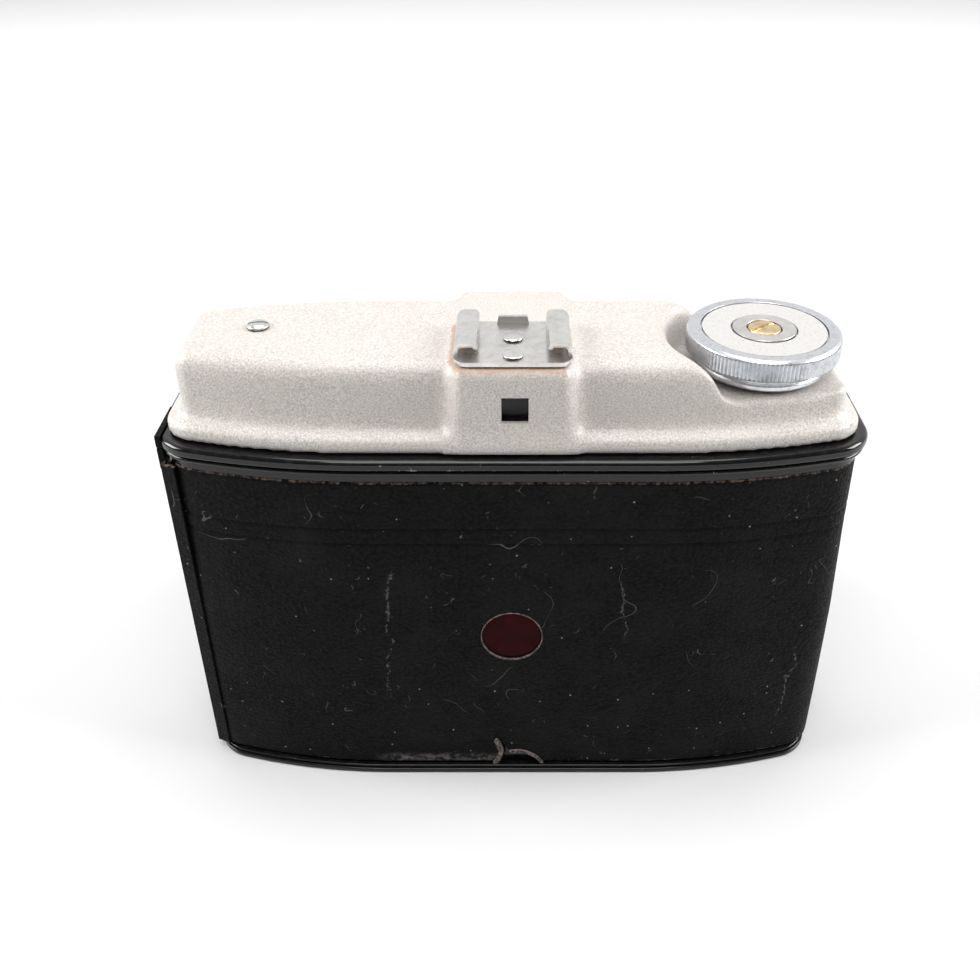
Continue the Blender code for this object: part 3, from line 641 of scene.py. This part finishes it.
def housing_field(x, y, z):
    """Distance to the pressed housing, a sheet 0.9 mm thick, open below."""
    inset = inset_field(x, y)
    skirt = corner_field(2.6 - inset, z - 85.8, 0.9)
    flare = 2.3 * np.clip((89.8 - z) / 5.0, 0, 1) ** 2
    wall = corner_field(5.4 - flare - inset, z - HOUSING_TOP, 4.2)
    body = blend_min(skirt, wall, 2.2)
    narrow = 0.07 * (z - 83.0)
    block = box_field(x * 11.7 / (11.7 - narrow), y, z, (-11.7, -18.4, 60.0),
                      (11.7, 18.4, HOUSING_TOP + 0.1), 1.9)
    body = blend_min(body, block, 3.2)
    reach = np.hypot(x - KNOB_X, y)
    recess = corner_field((reach - 16.2 - 0.39 * (z - 91.7)) * 0.93, 91.7 - z, 1.5)
    body = blend_max(body, -recess, 2.6)
    sheet = np.maximum(body, -(body + 0.9))
    sheet = np.maximum(sheet, 83.0 - z)
    shaft = np.maximum(reach - 3.0, 85.0 - z)
    screw = np.maximum(np.hypot(x - SCREW_X, y) - 1.5, 95.0 - z)
    for hole in (shaft, screw):
        sheet = np.maximum(sheet, -hole)
    for rivet in ("shoe_rivet_front", "shoe_rivet_rear"):
        low, high = span(rivet)
        sheet = np.maximum(sheet, -np.maximum(np.hypot(x, y - (low.y + high.y) / 2) - 1.2, 95.0 - z))
    return sheet


def surface_net(field, low, high, step):
    """The surface where field is zero, as four-sided faces, one corner to each crossed cell of a grid."""
    low = np.array(low)
    axes = [np.arange(a, b + step, step) for a, b in zip(low, high)]
    value = field(*np.meshgrid(*axes, indexing="ij"))
    shape = tuple(n - 1 for n in value.shape)
    total, count = np.zeros(shape + (3,)), np.zeros(shape)
    for axis in range(3):
        others = [a for a in range(3) if a != axis]
        for p in (0, 1):
            for q in (0, 1):
                start = [0, 0, 0]
                start[others[0]], start[others[1]] = p, q
                end = list(start)
                end[axis] = 1
                a = value[tuple(slice(o, o + n) for o, n in zip(start, shape))]
                b = value[tuple(slice(o, o + n) for o, n in zip(end, shape))]
                crossed = (a < 0) != (b < 0)
                part = np.where(crossed, a / np.where(crossed, a - b, 1.0), 0.0)
                for k in range(3):
                    total[..., k] += crossed * (start[k] + (part if k == axis else 0.0))
                count += crossed
    active = count > 0
    index = np.full(shape, -1)
    index[active] = np.arange(active.sum())
    verts = low + step * (np.argwhere(active) + total[active] / count[active][:, None])
    faces = []
    inside = value < 0
    for axis in range(3):
        u, v = (axis + 1) % 3, (axis + 2) % 3
        first = inside.take(range(inside.shape[axis] - 1), axis)
        second = inside.take(range(1, inside.shape[axis]), axis)
        edges = np.argwhere(first != second)
        edges = edges[(edges[:, u] > 0) & (edges[:, v] > 0)]
        edges = edges[(edges[:, u] < inside.shape[u] - 1) & (edges[:, v] < inside.shape[v] - 1)]
        corners = []
        for du, dv in ((1, 1), (0, 1), (0, 0), (1, 0)):
            cell = edges.copy()
            cell[:, u] -= du
            cell[:, v] -= dv
            corners.append(index[tuple(cell.T)])
        quads = np.stack(corners, axis=1)
        outward = inside[tuple(edges.T)]
        quads[~outward] = quads[~outward][:, ::-1]
        faces.append(quads)
    mesh = bpy.data.meshes.new("net")
    mesh.from_pydata(verts.tolist(), [], np.concatenate(faces).tolist())
    mesh.update()
    return mesh


def make_housing():
    low, high = span("top_housing")
    mesh = surface_net(housing_field, (low.x - 1, low.y - 1, low.z - 1),
                       (high.x + 1, high.y + 1, high.z + 1), 0.5)
    rear_window = box(-2.1, 2.8, -30.0, -12.0, 89.4, 94.6)
    front_window = box(-7.8, 7.8, 12.0, 30.0, 88.2, 96.0)
    mesh = carved(mesh, rear_window, front_window)
    finish_piece("housing", mesh, ["top_housing"], sharp=60)


# The body.


def notch():
    """The notch at the left end of the rims, in which the top of the hinge strip lies."""
    return box(-80.0, -66.35, -13.0, -0.35, 77.3, 95.0)


def make_plates():
    rows = [(4.8, 81.4), (4.8, 79.6), (4.0, 79.6), (4.0, 81.4), (1.1, 81.4), (1.1, 80.6)]
    rows += [(0.5, 80.6)] + arc((0.5, 81.1), 0.5, 270, 180) + [(0.0, 81.7)] + arc((1.0, 81.7), 1.0, 180, 90)
    finish_piece("top_rim", carved(layers(rows), notch()), ["top_plate"])
    rows = [(1.2, 0.0)] + arc((0.9, 0.4), 0.4, 270, 180) + arc((0.8, 0.9), 0.3, 180, 90) + [
        (4.0, 1.2), (4.0, 3.0), (4.8, 3.0), (4.8, 1.2)]
    finish_piece("base_rim", layers(rows), ["base_plate"])


def shell_section():
    """Section of the body's side wall, with a rolled foot and a rolled head."""
    foot = [(3.6, 1.5), (1.2, 1.5)] + arc((1.15, 1.75), 0.25, 250, 110) + [(1.2, 2.0), (2.6, 2.0)]
    head = [(2.6, 77.5), (1.5, 77.5), (1.5, 78.9), (1.2, 79.2)] + arc((0.9, 79.75), 0.5, 260, 100, 8)
    return foot + head + [(1.2, 80.3), (3.6, 80.3)]


def make_walls():
    door = run(lambda out: shell_section(), stretch(True))
    finish_piece("door_wall", carved(door, rod(6.1, -30.0, -10.0, WINDOW, "Y"), notch()), ["back_door"])
    front = run(lambda out: shell_section(), stretch(False))
    lens_hole = rod(24.0, 5.0, 30.0, (0.0, LENS_Z), "Y")
    finish_piece("front_wall", carved(front, lens_hole, notch()), ["front_shell"])


# The leatherette.


def skin_heights():
    """Where the leatherette's section has its places: close together at the edges and the creases."""
    edges = [0.0, 0.12, 0.3, 0.6, 1.0, 1.7]
    low = [LEATHER_LOW + e for e in edges]
    high = [LEATHER_HIGH - e for e in reversed(edges)]
    middle = list(np.arange(6.0, 61.5, 2.5)) + list(np.arange(62.0, 67.9, 0.25)) + [70.0, 72.5]
    return low + middle + high


def skin_section(out):
    """Section of the leatherette: rounded edges, two pressed creases, fuller low down at the ends."""
    section = []
    for z in skin_heights():
        low, high = max(0.0, 1 - (z - LEATHER_LOW) / 1.0), max(0.0, 1 - (LEATHER_HIGH - z) / 0.7)
        creases = sum(0.22 * math.exp(-((z - c) / 0.35) ** 2) for c in (63.0, 66.5))
        full = np.interp(z, (3.0, 20.0, 40.0, 60.0, 77.0), (1.4, 1.4, 1.25, 0.4, 0.0)) * out.x ** 2
        section.append((1.5 + 0.55 * low ** 2 + 0.4 * high ** 2 + creases - full, z))
    return section + [(2.3, LEATHER_HIGH), (2.3, LEATHER_LOW)]


TEAR = [(-3.2, 1.0), (-2.3, 4.2), (-1.6, 6.0), (-2.4, 7.6), (-3.2, 9.8), (-2.9, 9.9), (-2.0, 8.0),
        (-0.8, 5.9), (1.2, 5.9), (3.2, 5.4), (4.9, 4.4), (6.2, 2.8), (6.6, 1.0)]
TEAR_FLAPS = {
    "left": [(-4.6, 2.2), (-3.7, 4.0), (-3.1, 6.0), (-3.8, 8.0), (-4.2, 9.4), (-3.4, 10.2), (-2.8, 8.8),
             (-2.1, 6.6), (-2.3, 5.0), (-2.9, 3.4), (-3.4, 2.2)],
    "right": [(-1.0, 6.3), (1.2, 6.6), (3.4, 6.0), (5.3, 4.7), (6.9, 2.4), (6.3, 2.2), (4.9, 4.1), (3.1, 5.3),
              (1.2, 5.7), (-0.6, 5.5)],
}


def make_leather():
    latch = box(60.0, 75.0, -10.0, 2.5, 34.0, 53.7)
    ends = PARTING - 6.1, PARTING + 6.1
    behind = [(p, n) for p, n in stretch(True) if p.x > -20 or p.y < ends[0]]
    ahead = [(Vector((-PLATE_HIGH.x, ends[1])), Vector((-1.0, 0.0)))]
    ahead += [(p, n) for p, n in stretch(False) if p.x > -20 or p.y > ends[1] + 0.3]
    back = carved(run(skin_section, behind), rod(6.33, -30.0, -10.0, WINDOW, "Y"), latch,
                  prism(TEAR, -30.0, -15.0, "Y"))
    finish_piece("back_leatherette", back, ["back_leather"])
    front = carved(run(skin_section, ahead), rod(30.5, 5.0, 30.0, (0.0, LENS_Z), "Y"), latch.copy())
    finish_piece("front_leatherette", front, ["front_leather"])
    for side, plan in TEAR_FLAPS.items():
        flap = bevelled(prism(softened([(x, z) for x, z in plan], 0.4), -19.85, -19.3, "Y"), 0.18)
        extra_piece(f"torn_cloth_{side}", flap, "back_leather", RAW_CLOTH)
    rim = lathe([(6.16, -19.62), (6.36, -19.62), (6.36, -19.2), (6.16, -19.2)], WINDOW, "Y", 96)
    extra_piece("window_edge", rim, "back_leather", RAW_CLOTH)


# Turned pieces, each with its name, the node it stands for, its axis and centre, how far its corners are
# rounded, its teeth, and (radius, distance[, tooth depth]) places.


def make_turned():
    lens, knob, bush = (0.0, LENS_Z), (KNOB_X, 0.0), (0.0, 11.0)
    left, right = (-KNOB_X, 0.0), (KNOB_X, 0.0)
    roller = [(0.9, 4.8), (0.9, 8.4), (2.0, 8.4), (2.0, 70.7), (0.9, 70.7), (0.9, 74.3)]
    lower = [(4.5, 1.5), (4.5, 3.0), (2.4, 3.0), (2.4, 10.0), (1.8, 10.8)]
    upper = [(4.5, 81.1), (4.5, 80.0), (2.4, 80.0), (2.4, 69.6), (1.8, 68.8)]
    rings = [
        ("winding_knob", "knob_disc", "Z", knob, 0.12, 118, [
            (2.4, 95.1), (13.8, 95.1), (14.64, 95.7, 0.46), (14.64, 98.9, 0.46), (14.4, 99.3), (13.9, 99.7),
            (12.0, 99.7), (12.0, 99.0), (2.4, 99.0)]),
        ("knob_collar", "knob_base", "Z", knob, 0.15, 0, [
            (2.4, 92.3), (11.9, 92.3), (12.3, 92.7), (12.3, 93.5), (12.0, 93.8), (12.3, 94.1), (12.3, 94.8),
            (2.4, 94.8)]),
        ("knob_face", "knob_inlay", "Z", knob, 0.08, 0, [
            (6.3, 99.3), (11.7, 99.3), (11.7, 99.6), (6.3, 99.6)]),
        ("knob_ring", "knob_washer", "Z", knob, 0.15, 0, [
            (3.4, 99.3), (6.0, 99.3), (6.0, 99.8), (3.4, 99.8)]),
        ("ratchet", "ratchet_wheel", "Z", knob, 0.05, 16, [
            (2.3, 83.9), (7.0, 83.9, 0.9), (7.0, 84.9, 0.9), (2.3, 84.9)]),
        ("sleeve", "lift_sleeve", "Z", knob, 0.15, 0, [(2.3, 85.2), (4.0, 85.2), (4.0, 86.4), (2.3, 86.4)]),
        ("shaft_bearing", "shaft_bush", "Z", knob, 0.15, 0, [
            (2.35, 79.8), (3.3, 79.8), (3.3, 83.0), (5.0, 83.0), (5.0, 83.6), (2.35, 83.6)]),
        ("cone", "lens_cone", "Y", lens, 0.5, 0, [
            (24.2, 18.7), (30.0, 18.7), (30.0, 21.2), (28.2, 22.6), (27.0, 37.5), (26.6, 38.1), (26.5, 38.9),
            (26.8, 39.5), (26.4, 43.5), (25.9, 44.0), (23.6, 44.0), (24.2, 24.0)]),
        ("face", "face_plate", "Y", lens, 0.12, 0, [
            (11.2, 56.3), (25.2, 56.3), (25.2, 56.9), (24.6, 57.3), (24.1, 57.3), (24.0, 57.2), (23.9, 57.3),
            (11.2, 57.3)]),
        ("barrel", "lens_barrel", "Y", lens, 0.15, 0, [
            (7.6, 47.3), (13.0, 47.3), (13.0, 48.1), (9.4, 48.1), (9.4, 58.2), (7.6, 58.2)]),
        ("focus", "focus_ring", "Y", lens, 0.12, 40, [
            (9.8, 57.7), (12.9, 57.7), (13.4, 58.3, 0.4), (13.4, 61.7, 0.4), (12.7, 62.4), (11.0, 62.4),
            (10.4, 62.0), (9.4, 62.0), (9.4, 59.4), (8.0, 59.4), (8.0, 58.6), (9.8, 58.6)]),
        ("window_seat", "red_window_ring", "Y", WINDOW, 0.1, 0, [
            (6.0, -16.2), (8.8, -16.2), (8.8, -15.8), (6.0, -15.8)]),
    ]
    solids = [
        ("roller_left", "guide_roller_left", "Z", (-31.9, -10.3), 0.2, roller),
        ("roller_right", "guide_roller_right", "Z", (31.9, -10.3), 0.2, roller),
        ("supply_pin_foot", "supply_pin_lower", "Z", left, 0.3, lower),
        ("supply_pin_head", "supply_pin_upper", "Z", left, 0.3, upper),
        ("takeup_pin_foot", "takeup_pin_lower", "Z", right, 0.3, lower),
        ("bush", "tripod_bush", "Z", bush, 0.3, [(3.1, 5.0), (3.1, 0.0), (5.2, 0.0), (5.2, 6.0)]),
        ("window", "red_window", "Y", WINDOW, 0.1, [
            (7.6, -16.5), (7.6, -17.0), (5.95, -17.0), (5.95, -19.1)]),
        ("lens_rear", "rear_lens", "Y", lens, 0.8, [
            (0.5, 48.95), (4.0, 49.1), (7.2, 49.8), (7.2, 51.2), (4.0, 51.9), (0.5, 52.05)]),
        ("lens_front", "front_lens", "Y", lens, 0.6, [
            (9.0, 59.7), (9.0, 60.4), (7.8, 60.9), (6.2, 61.3), (4.2, 61.5), (2.0, 61.6), (0.3, 61.6)]),
        ("socket", "sync_socket", "X", (50.5, LENS_Z - 6.0), 0.15, [
            (2.2, -26.3), (2.2, -29.0), (1.0, -29.0), (1.0, -27.3)]),
        ("rivet_front", "shoe_rivet_front", "Z", (0.0, -7.4), 0.2, [
            (1.4, 97.7), (1.4, 98.4), (0.8, 98.4), (0.8, 101.3), (1.9, 101.3), (1.7, 101.5), (0.9, 101.65)]),
        ("rivet_rear", "shoe_rivet_rear", "Z", (0.0, -14.5), 0.2, [
            (1.4, 97.7), (1.4, 98.4), (0.8, 98.4), (0.8, 101.3), (1.9, 101.3), (1.7, 101.5), (0.9, 101.65)]),
    ]
    for name, node, axis, centre, soft, teeth, profile in rings:
        mesh = lathe(softened(profile, soft), centre, axis, 6 * teeth if teeth else 144, True, teeth)
        finish_piece(name, mesh, [node], DIAL_FACE if node == "face_plate" else None)
    for name, node, axis, centre, soft, profile in solids:
        finish_piece(name, lathe(softened(profile, soft, ring=False), centre, axis, 96, False), [node])


def slotted(profile, centre, turn, width, depth):
    """A screw with a straight slot across its head, turned by an angle in degrees."""
    mesh = lathe(softened(profile, 0.2, ring=False), centre, "Z", 96, False)
    reach, top = 6.0, profile[-1][1]
    slot = box(-reach, reach, -width / 2, width / 2, top - depth, top + 2)
    slot.transform(Matrix.Translation((*centre, 0.0)) @ Matrix.Rotation(math.radians(turn), 4, "Z"))
    return carved(mesh, slot)


def make_screws():
    head = [(1.6, 96.6), (1.6, 99.3), (3.1, 99.3), (3.1, 99.75), (2.3, 100.0), (1.0, 100.1)]
    finish_piece("knob_slotted_screw", slotted(head, (KNOB_X, 0.0), 37, 0.7, 0.5), ["knob_screw"])
    head = [(1.1, 88.0), (1.1, 100.1), (2.1, 100.1), (2.1, 100.4), (1.5, 100.8), (0.6, 100.9)]
    finish_piece("housing_screw", slotted(head, (SCREW_X, 0.0), 8, 0.6, 0.45), ["cover_screw"])


def make_shoe():
    """The accessory shoe: rolled rails that stop short of the rear edge, round corners and a front stop."""
    low, high = span("accessory_shoe")
    half, floor, top = high.x, low.z, high.z
    rail = [(half, floor + 0.3)] + [(half - 1.7 + x, z) for x, z in arc((0.0, top - 1.7), 1.7, 0, 90, 9)]
    rail += [(7.4 + x, z) for x, z in arc((0.0, top - 1.15), 1.15, 90, 180, 7)]
    rail += [(7.4 + x, z) for x, z in arc((0.0, top - 1.15), 0.35, 180, 90, 5)]
    rail += [(half - 1.7 + x, z) for x, z in arc((0.0, top - 1.7), 0.9, 90, 0, 7)]
    rail += [(half - 0.8, floor + 0.8)]
    plan = rail + [(-x, z) for x, z in reversed(rail)]
    plan = [(half - 0.3, floor)] + plan + [(0.3 - half, floor)]
    shoe = fused(prism(plan, low.y, high.y, "Y"),
                 prism([(-3.1, floor + 0.4), (3.1, floor + 0.4), (2.7, 102.4), (-2.7, 102.4)], high.y - 0.9,
                       high.y - 0.1, "Y"))
    cutters = [box(-20, 20, low.y - 1, low.y + 2.6, floor + 0.82, top + 5)]
    round_off = 2.4
    bend = [(half - round_off + round_off * math.sin(a), low.y + round_off - round_off * math.cos(a))
            for a in np.linspace(0, math.pi / 2, 9)]
    bend += [(half + 2, low.y + round_off), (half + 2, low.y - 2), (half - round_off, low.y - 2)]
    for side in (-1, 1):
        cutters.append(prism([(side * x, y) for x, y in bend], floor - 2, floor + 0.9))
    for place in (-7.4, -14.5):
        cutters.append(rod(1.1, 95.0, 102.0, (0.0, place)))
    finish_piece("shoe", bevelled(carved(shoe, *cutters), 0.14), ["accessory_shoe"])


def make_shutter():
    lens = (0.0, LENS_Z)
    case = lathe(softened([
        (8.5, 44.3), (25.6, 44.3), (26.0, 44.8), (26.0, 47.2), (25.7, 47.5), (25.7, 48.3), (26.0, 48.6),
        (26.0, 55.6), (25.6, 56.0), (24.6, 56.0), (24.6, 45.6), (8.5, 45.6)], 0.15), lens, "Y", 144)
    release_slot = box(18, 30, 50.1, 52.1, LENS_Z + 0.5, LENS_Z + 8.2)
    speed_slot = box(-1.6, 10.8, 52.6, 54.4, LENS_Z + 19, LENS_Z + 30)
    finish_piece("shutter_drum", carved(case, release_slot, speed_slot), ["shutter_case"])
    ring = lathe(softened([(14.0, 57.6), (22.0, 57.6), (22.0, 58.6), (14.0, 58.6)], 0.2), lens, "Y", 144)
    pointer = [(-26.8, LENS_Z), (-25.6, LENS_Z + 1.5), (-20.5, LENS_Z + 1.5), (-20.5, LENS_Z - 1.5),
               (-25.6, LENS_Z - 1.5)]
    pointer = bevelled(prism(pointer, 57.7, 58.5, "Y"), 0.15)
    finish_piece("aperture", fused(ring, pointer), ["aperture_ring"])
    ring = lathe(softened([(15.0, 53.0), (18.0, 53.0), (18.0, 54.0), (15.0, 54.0)], 0.1), lens, "Y", 144)
    arm = prism([(-1.2, LENS_Z + 16.5), (1.2, LENS_Z + 16.5), (1.2, LENS_Z + 28.4), (0.6, LENS_Z + 29.0),
                 (-0.6, LENS_Z + 29.0), (-1.2, LENS_Z + 28.4)], 53.1, 53.9, "Y")
    finish_piece("speed_lever", fused(ring, bevelled(arm, 0.15)), ["time_lever"])


def make_spool():
    low, high = span("takeup_spool")
    mesh = lathe(softened([
        (2.9, low.z), (12.5, low.z), (12.5, low.z + 1), (5.6, low.z + 1.2), (5.6, high.z - 1.2),
        (12.5, high.z - 1), (12.5, high.z), (2.9, high.z)], 0.2), (KNOB_X, 0.0), "Z", 128)
    slot = box(KNOB_X - 5.15, KNOB_X + 5.15, -1.15, 1.15, 67.0, 75.0)
    slit = box(KNOB_X - 8.0, KNOB_X + 8.0, -0.4, 0.4, 20.0, 59.0)
    finish_piece("spool", carved(mesh, slot, slit), ["takeup_spool"])


# How far the edges of the CAD pieces that show as they are get rounded, in millimetres.
BEVELS = {
    "hinge_cover_body": 0.3, "hinge_cover_door": 0.3, "film_frame": 0.3, "pressure_plate": 0.25,
    "latch_slide": 0.12, "release_lever": 0.2, "hinge_leaf_body": 0.06, "hinge_leaf_door": 0.06,
    "winding_key": 0.15, "ratchet_pawl": 0.12, "finder_tube": 0.1, "finder_rear_lens": 0.12,
    "finder_front_lens": 0.2,
    "door_catch": 0.15, "screw_post": 0.1, "pressure_spring_left": 0.05, "pressure_spring_right": 0.05,
    "film_tension_spring": 0.06, "winding_shaft": 0.1, "shutter_blade": 0.05, "hinge_pin": 0.1,
}


# Camera, light and floor.


def make_camera():
    data = bpy.data.cameras.new("camera")
    data.sensor_width = 36.0
    data.lens = 39.43102
    data.shift_x = -0.0235
    eye = bpy.data.objects.new("camera", data)
    eye.location = Vector((0.0, -186.6, 186.7)) * MM
    eye.rotation_euler = (math.radians(90 - 33.589), 0.0, 0.0)
    data.clip_start, data.clip_end = 0.01, 20.0
    bpy.context.scene.collection.objects.link(eye)
    bpy.context.scene.camera = eye


def make_light(name, place, target, size, power, colour=(1.0, 1.0, 1.0)):
    data = bpy.data.lights.new(name, "AREA")
    data.shape = "RECTANGLE"
    data.size, data.size_y = size
    data.energy = power
    data.color = colour
    made = bpy.data.objects.new(name, data)
    made.location = Vector(place)
    made.rotation_euler = (Vector(target) - Vector(place)).to_track_quat("-Z", "Y").to_euler()
    bpy.context.scene.collection.objects.link(made)


def make_studio():
    bpy.ops.mesh.primitive_plane_add(size=8.0, location=(0, 0, 0))
    floor = bpy.context.active_object
    floor.name = "floor"
    f = Finish("floor", roughness=0.9, Specular_IOR_Level=0.0)
    x, y = f.axis("X"), f.axis("Y")
    away = f.maths("SQRT", f.maths("ADD", f.maths("MULTIPLY", x, x), f.maths("MULTIPLY", y, y)))
    # Painted shade: the floor is painted darker close to the camera and lighter far off, a painted dim pool
    # round the camera that cuts the light the floor bounces back onto it.
    f.colour(f.mix(f.ramp(away, 200.0, 900.0), (0.55, 0.55, 0.55), (0.95, 0.95, 0.95)))
    floor.data.materials.append(f.material)
    world = bpy.data.worlds.new("world")
    world.use_nodes = True
    tree = world.node_tree
    facing = tree.nodes.new("ShaderNodeSeparateXYZ")
    tree.links.new(tree.nodes.new("ShaderNodeTexCoord").outputs["Generated"], facing.inputs[0])
    glow = tree.nodes.new("ShaderNodeMapRange")
    for key, value in {"From Min": -0.2, "From Max": 0.6, "To Min": 0.12, "To Max": 0.95}.items():
        glow.inputs[key].default_value = value
    tree.links.new(facing.outputs["Y"], glow.inputs["Value"])
    tree.links.new(glow.outputs["Result"], tree.nodes["Background"].inputs["Strength"])
    tree.nodes["Background"].inputs["Color"].default_value = (1.0, 1.0, 1.0, 1.0)
    bpy.context.scene.world = world
    bpy.context.scene.view_settings.view_transform = "Standard"
    make_light("overhead", (0.0, 0.1, 1.2), (0.0, 0.0, 0.08), (0.8, 0.5), 6.0)
    make_light("rear_light", (0.0, -0.42, 1.05), (0.0, 0.0, 0.08), (0.6, 0.35), 5.0)
    for side in (-1, 1):
        make_light("side_light", (0.85 * side, -0.02, 0.5), (0.0, 0.0, 0.08), (0.5, 0.4), 10.0)


def main():
    make_camera()
    make_studio()
    make_housing()
    make_plates()
    make_walls()
    make_leather()
    make_turned()
    make_screws()
    make_shoe()
    make_shutter()
    make_spool()
    for node, obj in frame["nodes"].items():
        obj.data.materials.clear()
        obj.data.materials.append(FINDER_GLASS if node.startswith("finder_") and NODE_SLOTS[node] == "glass"
                                  else FINISHES[NODE_SLOTS[node]])
        if node in BEVELS:
            add_bevel(obj, BEVELS[node] * MM)


main()
